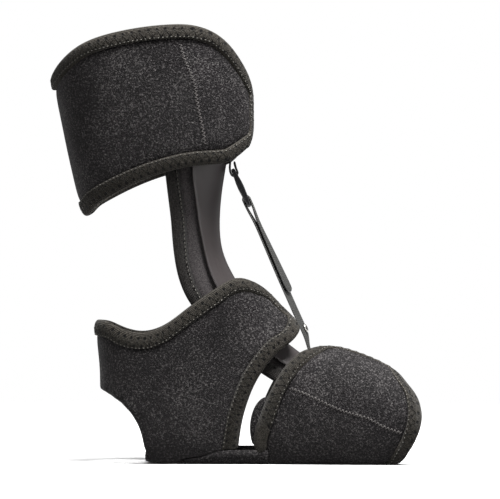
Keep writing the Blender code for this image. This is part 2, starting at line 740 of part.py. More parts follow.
def plate_marks(margin):
    """Places along the plate between its ends, the same for every piece on it."""
    marks = [SHELL_LENGTH * k / SHELL_COLUMNS for k in range(SHELL_COLUMNS + 1)]
    near = margin + LEAST_COLUMN
    between = [mark for mark in marks if near < mark < SHELL_LENGTH - near]
    return [margin] + between + [SHELL_LENGTH - margin]


def build_shell(plastic):
    """Moulded plate, thinner at its edges, with rounded ends."""
    rows = PLATE_ROWS
    outside = []
    inside = []
    for mark in plate_marks(PLATE_END_INSET * PAD_TAPE_WIDTH):
        spread = math.radians(curve_value(SHELL_LINE, mark, 4))
        near_end = min(mark, SHELL_LENGTH - mark)
        if near_end < PLATE_END_ROUND:
            round_share = math.sqrt(1 - (1 - near_end / PLATE_END_ROUND) ** 2)
            spread *= PLATE_END_WIDTH + (1 - PLATE_END_WIDTH) * round_share
        over = []
        under = []
        for row in range(rows + 1):
            share = 2 * row / rows - 1
            wall = SHELL_WALL * (1 - PLATE_EDGE_THINNING * share ** 4) - PLATE_SEAT
            over.append(shell_place(mark, spread * share, 0.0))
            under.append(shell_place(mark, spread * share, wall))
        outside.append(over)
        inside.append(under)
    plate("dorsal_shell", outside, inside, plastic)


def pad_spread(mark):
    """Half angle of the pad with its edge tape."""
    return math.radians(curve_value(SHELL_LINE, mark, 5))


def pad_tape_angle(mark):
    """Angle that the pad's edge tape takes."""
    return PAD_TAPE_WIDTH / (SHELL_RADIUS * curve_value(SHELL_LINE, mark, 3))


def build_pad(cloth, tape_cloth):
    """Textile pad behind the plate, with a rolled edge tape."""
    top = SHELL_WALL + GAP
    bottom = top + PAD_WALL
    rows = PLATE_ROWS
    outside = []
    inside = []
    for mark in plate_marks(PAD_TAPE_WIDTH + GAP):
        spread = pad_spread(mark) - pad_tape_angle(mark) * (1 + GAP / PAD_TAPE_WIDTH)
        angles = [spread * (2 * row / rows - 1) for row in range(rows + 1)]
        outside.append([shell_place(mark, angle, top) for angle in angles])
        inside.append([shell_place(mark, angle, bottom) for angle in angles])
    plate("dorsal_pad", outside, inside, cloth)
    build_pad_tape(top, bottom, tape_cloth)


def build_pad_tape(top, bottom, material):
    """Edge tape round the pad, its ends meeting at the toe end."""
    stations = []
    for k in range(PAD_END_STATIONS):
        share = PAD_TAPE_JOIN + (1 - PAD_TAPE_JOIN) * k / PAD_END_STATIONS
        spread = pad_spread(SHELL_LENGTH)
        tape_angle = pad_tape_angle(SHELL_LENGTH)
        stations.append(((SHELL_LENGTH, -spread * share),
                         (SHELL_LENGTH - PAD_TAPE_WIDTH, -(spread - tape_angle) * share)))
    for mark in reversed(plate_marks(PAD_TAPE_WIDTH)):
        outer = mark
        if mark == PAD_TAPE_WIDTH:
            outer = PAD_CORNER * mark
        if mark == SHELL_LENGTH - PAD_TAPE_WIDTH:
            outer = SHELL_LENGTH - PAD_CORNER * PAD_TAPE_WIDTH
        stations.append(((outer, -pad_spread(outer)), (mark, pad_tape_angle(mark) - pad_spread(mark))))
    for k in range(1, PAD_END_STATIONS + 1):
        share = 1 - k / (PAD_END_STATIONS + 1)
        stations.append(((0.0, -pad_spread(0.0) * share),
                         (PAD_TAPE_WIDTH, (pad_tape_angle(0.0) - pad_spread(0.0)) * share)))
    mirrored = [((edge[0], -edge[1]), (inner[0], -inner[1])) for edge, inner in reversed(stations)]
    stations = stations + [((0.0, 0.0), (PAD_TAPE_WIDTH, 0.0))] + mirrored
    stations = [station for k, station in enumerate(stations) if k == 0 or station != stations[k - 1]]
    rounding = PAD_CORNER * PAD_WALL
    profile = ((0.0, top, bottom), (PAD_TAPE_FLAT, top, bottom), (1.0, top + rounding, bottom - rounding))
    outside = []
    inside = []
    for edge, inner in stations:
        over = []
        under = []
        for share, shallow, deep in profile:
            mark = inner[0] + (edge[0] - inner[0]) * share
            angle = inner[1] + (edge[1] - inner[1]) * share
            over.append(shell_place(mark, angle, shallow))
            under.append(shell_place(mark, angle, deep))
        outside.append(over)
        inside.append(under)
    plate("pad_binding", outside, inside, material)


def strap_axes():
    """Start, direction and outward normal of the strap's straight run."""
    start = Vector((PIVOT_X + STRAP_TOP[0], 0.0, PIVOT_Z + STRAP_TOP[1]))
    end = Vector((PIVOT_X + STRAP_FOOT[0], 0.0, PIVOT_Z + STRAP_FOOT[1]))
    along = (end - start).normalized()
    return start, end, along, Vector((-along.z, 0.0, along.x))


def webbing(name, points, twists, material):
    """Flat webbing along points in the middle plane."""
    half = WEBBING_WALL / 2
    rows = 2
    outside = []
    inside = []
    for k, point in enumerate(points):
        before = points[max(k - 1, 0)]
        after = points[min(k + 1, len(points) - 1)]
        along = (after - before).normalized()
        face = Vector((-along.z, 0.0, along.x))
        lean = face if face.x > 0 else -face
        side = Vector((0.0, math.cos(twists[k]), 0.0)) + lean * math.sin(twists[k])
        normal = side.cross(along).normalized()
        if normal.dot(face) < 0:
            normal = -normal
        across = [side * WEBBING_WIDTH * (row / rows - 0.5) for row in range(rows + 1)]
        outside.append([point + step + normal * half for step in across])
        inside.append([point + step - normal * half for step in across])
    return plate(name, outside, inside, material)


def build_buckle(plastic):
    """Ladder buckle: a frame with two slots and a bowed outline."""
    start, _, along, out = strap_axes()
    outside = []
    inside = []
    for mark in BUCKLE_STATIONS:
        arch = math.sin(math.pi * min(max(mark, BUCKLE_END_ROUND), 1 - BUCKLE_END_ROUND))
        bow = 0.5 * BUCKLE_THICKNESS * (BUCKLE_END_SHARE + (1 - BUCKLE_END_SHARE) * arch)
        over = []
        under = []
        for side in BUCKLE_SIDES:
            half = bow if abs(side) > BUCKLE_SIDES[3] else min(bow, 0.5 * BAR_THICKNESS)
            base = start + along * mark * BUCKLE_LENGTH + Vector((0.0, side * BUCKLE_WIDTH, 0.0))
            over.append(base + out * half)
            under.append(base - out * half)
        outside.append(over)
        inside.append(under)
    plate("strap_buckle", outside, inside, plastic, BUCKLE_SLOTS)


def hairpin(turn_mark, way, step):
    """Points round a bar: way is +1 for a turn towards the foot, -1 towards the calf."""
    start, _, along, out = strap_axes()
    centre = start + along * turn_mark * BUCKLE_LENGTH
    points = []
    for k in range(HAIRPIN_STEPS + 1):
        angle = math.pi * k / HAIRPIN_STEPS
        points.append(centre + along * way * step * math.sin(angle) - out * step * math.cos(angle))
    return points


def strap_twist(share):
    """The strap turns a little towards the near side before it reaches the foot."""
    return math.radians(STRAP_TWIST) * soft_step(share, *TWIST_IN) * (1 - soft_step(share, *TWIST_OUT))


def layer_offset(place):
    """How far each layer of the strap lies from its middle plane: apart at the bar, then close."""
    apart = 0.5 * BAR_THICKNESS + GAP + 0.5 * WEBBING_WALL
    close = 0.5 * WEBBING_WALL + GAP
    return apart + (close - apart) * soft_step(place, BUCKLE_LENGTH, BUCKLE_LENGTH + LAYER_CLOSING)


def build_strap(cloth):
    """Tension strap: up from the plate on the foot, round the lower bar and back as its tail."""
    start, end, along, out = strap_axes()
    run = (end - start).length
    lead = BAR_MARKS[1] * BUCKLE_LENGTH
    straight = run - STRAP_BEND
    places = [lead + (straight - lead) * k / STRAP_COLUMNS for k in range(1, STRAP_COLUMNS + 1)]
    offset = -1.5 * GAP - 0.5 * WEBBING_WALL
    points = []
    twists = []
    for k in range(5):
        x = end.x + STRAP_LANDING - STRAP_LANDING_STEP * k
        points.append(shell_place(mark_at_x(x), 0.0, offset - STRAP_LANDING_LIFT * k))
        twists.append(0.0)
    landing = points[-1]
    foot = start + along * straight - out * layer_offset(straight)
    knee = Vector((foot.x + STRAP_KNEE[0], 0.0, landing.z + STRAP_KNEE[1]))
    for k in range(1, KNEE_STEPS):
        share = k / KNEE_STEPS
        point = landing * (1 - share) ** 2 + knee * 2 * share * (1 - share) + foot * share ** 2
        points.append(point)
        twists.append(strap_twist(1.0) * share)
    for place in reversed(places):
        points.append(start + along * place - out * layer_offset(place))
        twists.append(strap_twist(place / run))
    points += hairpin(BAR_MARKS[1], -1, layer_offset(lead))
    twists += [0.0] * (HAIRPIN_STEPS + 1)
    for place in places[:round(TAIL_SHARE * STRAP_COLUMNS)]:
        points.append(start + along * place + out * layer_offset(place))
        twists.append(strap_twist(place / run))
    webbing("tension_strap", points, twists, cloth)


def mark_at_x(x):
    """The place along the plate's line where it passes x, on the foot."""
    low = SHELL_LENGTH * 0.5
    high = SHELL_LENGTH
    for _ in range(SETTLE_ROUNDS):
        middle = (low + high) / 2
        if curve_value(SHELL_LINE, middle, 1) < x:
            low = middle
        else:
            high = middle
    return low


def build_anchor(cloth):
    """Webbing loop from the plate under the calf wrap round the buckle's upper bar."""
    start, _, along, out = strap_axes()
    step = layer_offset(0.0)
    offset = -GAP - 0.5 * WEBBING_WALL
    points = []
    for k in range(3):
        mark = SHELL_LINE[3][0] - ANCHOR_START + ANCHOR_STEP * k
        points.append(shell_place(mark, 0.0, offset - ANCHOR_LIFT * k))
    points.append(start - along * ANCHOR_LEAD - out * step)
    points += hairpin(BAR_MARKS[0], 1, step)
    points.append(start - along * ANCHOR_LEAD + out * step)
    points.append(start - along * ANCHOR_TAIL + out * (ANCHOR_SPREAD * step))
    webbing("strap_anchor", points, [0.0] * len(points), cloth)


def build_rivet(metal):
    """Domed rivet head on the strap's outer face."""
    start, end, along, out = strap_axes()
    run = (end - start).length
    place = RIVET_PLACE * run
    twist = strap_twist(place / run)
    side = Vector((0.0, math.cos(twist), 0.0)) + out * math.sin(twist)
    face = side.cross(along).normalized()
    if face.dot(out) < 0:
        face = -face
    base = start + along * place - out * layer_offset(place) + face * (0.5 * WEBBING_WALL + 1.5 * GAP)
    work = bmesh.new()
    rings = []
    sides = RIVET_SIDES
    for share, height in RIVET_PROFILE:
        ring = []
        for k in range(sides):
            angle = 2 * math.pi * k / sides
            arm = along * math.cos(angle) + side.normalized() * math.sin(angle)
            ring.append(work.verts.new(base + arm * RIVET_RADIUS * share + face * RIVET_HEIGHT * height))
        rings.append(ring)
    for lower, upper in zip(rings, rings[1:]):
        for k in range(sides):
            work.faces.new((lower[k], lower[(k + 1) % sides], upper[(k + 1) % sides], upper[k]))
    work.faces.new(rings[0][::-1])
    work.faces.new(rings[-1])
    bmesh.ops.recalc_face_normals(work, faces=work.faces[:])
    mesh = bpy.data.meshes.new("strap_rivet")
    work.to_mesh(mesh)
    work.free()
    mesh.shade_smooth()
    mesh.materials.append(metal)
    bpy.context.scene.collection.objects.link(bpy.data.objects.new("strap_rivet", mesh))


def main():
    """Clear the scene and build every piece."""
    for old in list(bpy.data.objects):
        bpy.data.objects.remove(old, do_unlink=True)
    wrap_cloth = finish("wrap_cloth", (0.014, 0.014, 0.015), 0.85)
    tape_cloth = finish("edge_tape", (0.045, 0.044, 0.038), 0.9)
    pad_cloth = finish("pad_cloth", (0.022, 0.022, 0.023), 0.9)
    shell_plastic = finish("shell_plastic", (0.055, 0.050, 0.051), 0.42)
    web = finish("webbing", (0.06, 0.06, 0.058), 0.8)
    gloss = finish("buckle_plastic", (0.01, 0.01, 0.01), 0.25)
    metal = finish("rivet_metal", (0.6, 0.6, 0.58), 0.3, 1.0)
    build_calf(wrap_cloth, tape_cloth)
    build_ankle(wrap_cloth, tape_cloth)
    build_foot(wrap_cloth, tape_cloth)
    build_sole_bridge(wrap_cloth)
    build_arch_flap(pad_cloth)
    build_shell(shell_plastic)
    build_pad(pad_cloth, tape_cloth)
    build_buckle(gloss)
    build_strap(web)
    build_anchor(web)
    build_rivet(metal)


main()
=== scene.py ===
"""Dorsal night splint for the foot, standing on its sole on a pale floor.

Metres, +Z up, toes towards +X, the flap ends of the wraps towards -Y.
"""

import math

import bmesh
import bpy
import numpy as np
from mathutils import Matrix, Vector
from mathutils.bvhtree import BVHTree


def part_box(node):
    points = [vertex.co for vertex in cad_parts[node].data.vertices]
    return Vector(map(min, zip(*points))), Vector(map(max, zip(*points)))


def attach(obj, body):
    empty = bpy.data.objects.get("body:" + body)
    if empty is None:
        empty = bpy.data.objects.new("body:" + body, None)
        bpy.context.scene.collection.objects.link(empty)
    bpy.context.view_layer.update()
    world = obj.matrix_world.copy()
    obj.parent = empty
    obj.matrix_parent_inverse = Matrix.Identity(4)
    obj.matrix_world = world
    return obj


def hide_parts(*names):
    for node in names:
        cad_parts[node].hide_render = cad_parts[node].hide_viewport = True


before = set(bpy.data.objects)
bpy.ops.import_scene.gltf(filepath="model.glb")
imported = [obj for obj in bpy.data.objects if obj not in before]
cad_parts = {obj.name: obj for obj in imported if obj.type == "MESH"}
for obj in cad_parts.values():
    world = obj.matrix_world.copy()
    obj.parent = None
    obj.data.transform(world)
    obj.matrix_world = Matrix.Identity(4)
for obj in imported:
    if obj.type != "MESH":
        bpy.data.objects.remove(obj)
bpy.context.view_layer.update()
scene = bpy.context.scene

# Camera
# A long lens stands level with the middle of the splint and looks across it at the
# flap side, so that 500 pixels span 350 mm in the splint's middle plane.
VIEW_WIDTH = 0.350
VIEW_HEIGHT = 0.14875
CAMERA_BACK = 3.0
SENSOR_MM = 36.0
camera_data = bpy.data.cameras.new("camera")
camera_data.sensor_width = SENSOR_MM
camera_data.lens = SENSOR_MM * CAMERA_BACK / VIEW_WIDTH
camera_data.clip_start = 0.1
camera_data.clip_end = 30.0
camera = bpy.data.objects.new("camera", camera_data)
camera.location = (0.0, -CAMERA_BACK, VIEW_HEIGHT)
camera.rotation_euler = (math.pi / 2, 0.0, 0.0)
scene.collection.objects.link(camera)
scene.camera = camera


# Studio
# Four large soft boxes over a pale floor: a strong one overhead, and weak ones before the
# flap side, beyond the toes and behind, in an even surround that gives little light.
def linear(code):
    """An sRGB hex colour as linear red, green, blue and alpha."""
    values = [int(code[k:k + 2], 16) / 255 for k in (1, 3, 5)]
    return tuple(v / 12.92 if v < 0.04045 else ((v + 0.055) / 1.055) ** 2.4 for v in values) + (1.0,)


def soft_box(name, place, aim, width, power):
    """A square area light at place that faces aim."""
    data = bpy.data.lights.new(name, "AREA")
    data.shape = "SQUARE"
    data.size = width
    data.energy = power
    lamp = bpy.data.objects.new(name, data)
    lamp.location = place
    lamp.rotation_euler = (Vector(aim) - Vector(place)).to_track_quat("-Z", "Y").to_euler()
    scene.collection.objects.link(lamp)


# Each row has a box's name, its place, the point that it faces, its width and its power
SOFT_BOXES = (("key_light", (-0.45, -1.25, 1.05), (0.0, 0.0, 0.16), 0.55, 6.0),
              ("top_light", (0.25, -0.35, 1.30), (0.04, 0.0, 0.08), 0.6, 52.0),
              ("toe_light", (1.1, -0.8, 0.55), (0.0, 0.0, 0.12), 0.5, 3.5),
              ("back_light", (-0.5, 1.1, 0.9), (0.0, 0.0, 0.15), 0.7, 9.0))
for row in SOFT_BOXES:
    soft_box(*row)


def add(material, kind, links=(), **settings):
    """Adds a node to a material or world, with its properties or inputs set by name.

    Each row of links holds an input of the node, another node and that node's output.
    """
    made = material.node_tree.nodes.new(kind)
    for key, value in settings.items():
        if hasattr(made, key):
            setattr(made, key, value)
        else:
            made.inputs[key.replace("_", " ")].default_value = value
    for target, source, output in links:
        material.node_tree.links.new(source.outputs[output], made.inputs[target])
    return made


def new_material(name):
    """A material with its Principled shader, which is returned beside it."""
    material = bpy.data.materials.new(name)
    material.use_nodes = True
    return material, material.node_tree.nodes["Principled BSDF"]


def join(material, source, output, target, entry):
    """Links one socket to another."""
    material.node_tree.links.new(source.outputs[output], target.inputs[entry])


# The surround is white to the eye but dim as a light, so that dark cloth keeps its depth
SURROUND_LIGHT = 0.20
surround = bpy.data.worlds.new("surround")
surround.use_nodes = True
surround_paths = add(surround, "ShaderNodeLightPath")
surround_strength = add(surround, "ShaderNodeMapRange", [("Value", surround_paths, "Is Camera Ray")],
                        To_Min=SURROUND_LIGHT, To_Max=1.0)
surround_back = surround.node_tree.nodes["Background"]
surround_back.inputs["Color"].default_value = linear("#ffffff")
join(surround, surround_strength, "Result", surround_back, "Strength")
scene.world = surround
scene.view_settings.view_transform = "Standard"

FLOOR_RADIUS = 1.4
floor_bm = bmesh.new()
bmesh.ops.create_circle(floor_bm, cap_ends=True, radius=FLOOR_RADIUS, segments=96)
floor_mesh = bpy.data.meshes.new("floor")
floor_bm.to_mesh(floor_mesh)
floor_bm.free()
floor = bpy.data.objects.new("floor", floor_mesh)
scene.collection.objects.link(floor)
# The board throws no light back up, so the wraps darken towards the sole
floor.visible_diffuse = False
# Matt painted board, which the eye reads as plain white with a faint tooth
PAINT_TOOTH_MM = 2.5
paint, paint_shader = new_material("floor_paint")
paint_place = add(paint, "ShaderNodeTexCoord")
paint_tooth = add(paint, "ShaderNodeTexNoise", [("Vector", paint_place, "Object")],
                  Scale=1000 / PAINT_TOOTH_MM)
paint_tone = add(paint, "ShaderNodeValToRGB", [("Fac", paint_tooth, "Fac")])
paint_tone.color_ramp.elements[0].color = linear("#efefef")
paint_tone.color_ramp.elements[1].color = linear("#f4f4f4")
join(paint, paint_tone, "Color", paint_shader, "Base Color")
paint_shader.inputs["Roughness"].default_value = 0.9
# The board thins out to nothing well away from the splint, so it has no horizon
FLOOR_SOLID = 0.35
FLOOR_GONE = 1.3
paint_reach = add(paint, "ShaderNodeVectorMath", [(0, paint_place, "Object")], operation="LENGTH")
paint_edge = add(paint, "ShaderNodeMapRange", [("Value", paint_reach, "Value")],
                 interpolation_type="SMOOTHSTEP", From_Min=FLOOR_SOLID, From_Max=FLOOR_GONE,
                 To_Min=1.0, To_Max=0.0)
join(paint, paint_edge, "Result", paint_shader, "Alpha")
floor_mesh.materials.append(paint)


# Calf wrap
# A band of foam laminated between knits, wound round the calf and closed on itself with
# hook and loop. Its near face is a fine loop pile; a zigzag seam holds the hook patch.

# The frame's meshes are loose triangles. Corners nearer than this are one corner, and two
# triangles that turn and skew less than this are one face.
MERGE_WITHIN = 0.00002
PAIR_TURN = math.radians(25)
PAIR_SKEW = math.radians(60)


def copy_of(node):
    """A CAD node's merged mesh, with its flat triangle pairs joined again."""
    work = bmesh.new()
    work.from_mesh(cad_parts[node].data)
    bmesh.ops.remove_doubles(work, verts=work.verts[:], dist=MERGE_WITHIN)
    bmesh.ops.join_triangles(work, faces=work.faces[:], angle_face_threshold=PAIR_TURN,
                             angle_shape_threshold=PAIR_SKEW)
    return work


def tree_of(node):
    """A search tree of a CAD node's faces."""
    work = bmesh.new()
    work.from_mesh(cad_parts[node].data)
    tree = BVHTree.FromBMesh(work)
    work.free()
    return tree


# Pieces that touch lie about a third of a millimetre apart in the frame
AGAINST = 0.0009


def border(work, neighbour):
    """The vertices that lie against a neighbouring CAD node."""
    tree = tree_of(neighbour)
    return [v for v in work.verts if tree.find_nearest(v.co, AGAINST)[0] is not None]


def border_line(work, rim):
    """Middle points and outward directions of the edge wall between rim vertices, in order.

    The second value says whether the wall goes all the way round.
    """
    rim = set(rim)
    walls = {f for f in work.faces if all(v in rim for v in f.verts)}
    rungs = [e for e in work.edges if len(e.link_faces) == 2 and all(f in walls for f in e.link_faces)]
    left = set(rungs)
    longest = []
    closed = False
    for first in rungs:
        if first not in left:
            continue
        left.remove(first)
        chain = [first]
        for face in first.link_faces:
            rung = first
            while True:
                step = [e for e in face.edges if e in left]
                if not step:
                    break
                rung = step[0]
                left.remove(rung)
                chain.append(rung)
                face = [f for f in rung.link_faces if f is not face][0]
            chain.reverse()
        if len(chain) > len(longest):
            longest = chain
            closed = bool(set(chain[0].link_faces) & set(chain[-1].link_faces))
    middles = [(e.verts[0].co + e.verts[1].co) / 2 for e in longest]
    heart = sum(middles, Vector()) / len(middles)
    line = []
    for edge, middle in zip(longest, middles):
        out = (edge.verts[1].co - edge.verts[0].co).normalized()
        line.append((middle, out if out.dot(middle - heart) > 0 else -out))
    return line, closed


def finished(work, name, material, levels=2):
    """Makes the shown object, smoothed by a Subdivision Surface."""
    bmesh.ops.recalc_face_normals(work, faces=work.faces[:])
    mesh = bpy.data.meshes.new(name)
    work.to_mesh(mesh)
    work.free()
    mesh.shade_smooth()
    mesh.materials.append(material)
    piece = bpy.data.objects.new(name, mesh)
    scene.collection.objects.link(piece)
    if levels:
        smooth = piece.modifiers.new("smooth", "SUBSURF")
        smooth.levels = levels
        smooth.render_levels = levels
    return piece


# How far a raw edge goes under its tape. A vertex on the tape's face stays where it is.
TUCK = 0.0030
ON_FACE = 0.000001


def tuck(work, rim, neighbour, reach=TUCK):
    """Pushes the edge of the cloth under its tape."""
    tree = tree_of(neighbour)
    moves = []
    for v in rim:
        place, _, _, gap = tree.find_nearest(v.co)
        if gap > ON_FACE:
            moves.append((v, (place - v.co).normalized() * reach))
    for v, move in moves:
        v.co += move


# Loop knit laminated on foam: near-black pile, with light flecks painted into its colour as
# the glints where single loops catch the light, drawn a little coarser than the real half
# millimetre so that they show: painted highlights
LOOP_PITCH_MM = 0.75
LOOP_CLUMP_MM = 1.2
PILE_PATCH_MM = 26.3
PILE_PATCH_SHARE = 0.035
pile, pile_shader = new_material("loop_pile")
pile_place = add(pile, "ShaderNodeTexCoord")
pile_loops = add(pile, "ShaderNodeTexVoronoi", [("Vector", pile_place, "Object")],
                 Scale=1000 / LOOP_PITCH_MM, Randomness=1.0)
pile_grain = add(pile, "ShaderNodeTexNoise", [("Vector", pile_place, "Object")],
                 Scale=1000 / LOOP_CLUMP_MM, Detail=4.0, Roughness=0.75)
# Larger patches at random are a little lighter or darker, with more or fewer painted glints
pile_patches = add(pile, "ShaderNodeTexNoise", [("Vector", pile_place, "Object")],
                Scale=1000 / PILE_PATCH_MM, Detail=3.0, Roughness=0.55)
pile_shift = add(pile, "ShaderNodeMapRange", [("Value", pile_patches, "Fac")],
                 From_Min=0.3, From_Max=0.7, To_Min=-PILE_PATCH_SHARE, To_Max=PILE_PATCH_SHARE)
pile_share = add(pile, "ShaderNodeMath", [(0, pile_grain, "Fac"), (1, pile_shift, "Result")],
                 operation="ADD")
# Dark pile in the lower part of the ramp; its light end is the painted glints
pile_tone_and_glints = add(pile, "ShaderNodeValToRGB", [("Fac", pile_share, "Value")])
pile_tone_and_glints.color_ramp.elements[0].position = 0.40
pile_tone_and_glints.color_ramp.elements[0].color = linear("#0e0d0d")
pile_tone_and_glints.color_ramp.elements[1].position = 0.70
pile_tone_and_glints.color_ramp.elements[1].color = linear("#686564")
pile_middle = pile_tone_and_glints.color_ramp.elements.new(0.53)
pile_middle.color = linear("#232122")
join(pile, pile_tone_and_glints, "Color", pile_shader, "Base Color")
pile_height = add(pile, "ShaderNodeMath", [(0, pile_loops, "Distance")], operation="MULTIPLY")
pile_height.inputs[1].default_value = -1.0
pile_bump = add(pile, "ShaderNodeBump", [("Height", pile_height, "Value")], Strength=0.8, Distance=0.0005)
join(pile, pile_bump, "Normal", pile_shader, "Normal")
pile_shader.inputs["Roughness"].default_value = 0.75
pile_shader.inputs["Specular IOR Level"].default_value = 0.10
pile_shader.inputs["Sheen Weight"].default_value = 0.10
pile_shader.inputs["Sheen Roughness"].default_value = 0.35
pile_shader.inputs["Sheen Tint"].default_value = linear("#a09c9e")


# The foam rises by so much at most, in so many frames, and not near the tape
FOAM_RISE = 0.0011
SETTLE_FRAMES = 12
HELD_NEAR_TAPE = 0.0035
FOAM_PRESSURE = 3.0
FOAM_MASS = 0.3
FOAM_STIFFNESS = 30.0
FOAM_BENDING = 4.0


def apply_modifiers(piece):
    """Turns the modifiers' result into the piece's own mesh."""
    evaluated = piece.evaluated_get(bpy.context.evaluated_depsgraph_get())
    mesh = bpy.data.meshes.new_from_object(evaluated)
    piece.modifiers.clear()
    piece.data = mesh


def fill_out(piece, tape_name):
    """Lets the foam swell between the edges that its tape holds, by a cloth simulation."""
    tape_tree = tree_of(tape_name)
    near = [v.index for v in piece.data.vertices
            if tape_tree.find_nearest(v.co, HELD_NEAR_TAPE)[0] is not None]
    held = piece.vertex_groups.new(name="held")
    held.add(near, 1.0, "REPLACE")
    before = [v.co.copy() for v in piece.data.vertices]
    foam = piece.modifiers.new("foam", "CLOTH")
    foam.settings.quality = 6
    foam.settings.mass = FOAM_MASS
    foam.settings.tension_stiffness = FOAM_STIFFNESS
    foam.settings.compression_stiffness = FOAM_STIFFNESS
    foam.settings.bending_stiffness = FOAM_BENDING
    foam.settings.use_pressure = True
    foam.settings.uniform_pressure_force = FOAM_PRESSURE
    foam.settings.effector_weights.gravity = 0.0
    foam.settings.vertex_group_mass = "held"
    foam.point_cache.frame_start = 1
    foam.point_cache.frame_end = SETTLE_FRAMES
    for count in range(1, SETTLE_FRAMES + 1):
        scene.frame_set(count)
    apply_modifiers(piece)
    scene.frame_set(1)
    for v, old in zip(piece.data.vertices, before):
        move = v.co - old
        if move.length > FOAM_RISE:
            v.co = old + move.normalized() * FOAM_RISE
        # The sole stays flat where it rests on the floor
        v.co.z = max(v.co.z, 0.0)
    smooth = piece.modifiers.new("smooth", "SUBSURF")
    smooth.levels = 1
    smooth.render_levels = 1


def wrap_body(name, tape_name, title):
    """A wrap's body, its edge tucked under the tape, and the line where they meet."""
    work = copy_of(name)
    rim = border(work, tape_name)
    line = border_line(work, rim)
    tuck(work, rim, tape_name)
    piece = finished(work, title, pile, 1)
    apply_modifiers(piece)
    fill_out(piece, tape_name)
    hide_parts(name)
    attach(piece, "root")
    return piece, line


calf_body, calf_line = wrap_body("calf_wrap", "calf_binding", "calf_body")


# Calf tape
# A knitted tape folded over the raw edge of the wrap and sewn down with a zigzag, which
# leaves two rows of needle holes.

# Half the folded tape's thickness, the length of one zigzag, and the distances of its two
# rows of holes across the tape from the line where the tape meets the cloth
WALL_HALF = 0.0032
STITCH_PITCH = 0.0056
ZIGZAG_LOW = 0.0022
ZIGZAG_HIGH = 0.0070
# Keeps a stretch of no length from dividing by nothing
LEAST_SQUARE = 1e-12


def edge_map(piece, border_path, half):
    """UV map: u counts stitches along the line, v is the distance across from it in centimetres."""
    line, closed = border_path
    start = np.array([tuple(middle) for middle, out in line])
    end = np.roll(start, -1, axis=0)
    if not closed:
        start = start[:-1]
        end = end[:-1]
    span = end - start
    length = np.linalg.norm(span, axis=1)
    before = np.concatenate([[0.0], np.cumsum(length)[:-1]])
    total = length.sum()
    stitches = round(total / STITCH_PITCH)
    points = np.array([tuple(v.co) for v in piece.data.vertices])
    along = np.zeros(len(points))
    across = np.zeros(len(points))
    for k, point in enumerate(points):
        share = np.clip(((point - start) * span).sum(1) / np.maximum(length ** 2, LEAST_SQUARE), 0, 1)
        gaps = np.linalg.norm(point - (start + span * share[:, None]), axis=1)
        best = int(gaps.argmin())
        along[k] = (before[best] + share[best] * length[best]) / total * stitches
        across[k] = math.sqrt(max(gaps[best] ** 2 - half ** 2, 0.0)) * 100
    layer = piece.data.uv_layers.new(name="edge")
    for face in piece.data.polygons:
        first = along[face.vertices[0]]
        for corner, vertex in zip(face.loop_indices, face.vertices):
            u = along[vertex]
            if u - first > stitches / 2:
                u -= stitches
            if first - u > stitches / 2:
                u += stitches
            layer.data[corner].uv = (u, across[vertex])


# Knitted polyester tape: a dull olive charcoal rib, with a pit where each needle went
# through, darkened to near black in its colour as painted shade. Rows are (centimetres
# across, share of a stitch along).
ZIGZAG_ROWS = ((100 * ZIGZAG_LOW, 0.5), (100 * ZIGZAG_HIGH, 0.0))
TAPE_RIB_MM = 0.9
RIB_SHARE = 0.25
PIT_EDGE_CM = 0.125
PIT_FLOOR_CM = 0.07


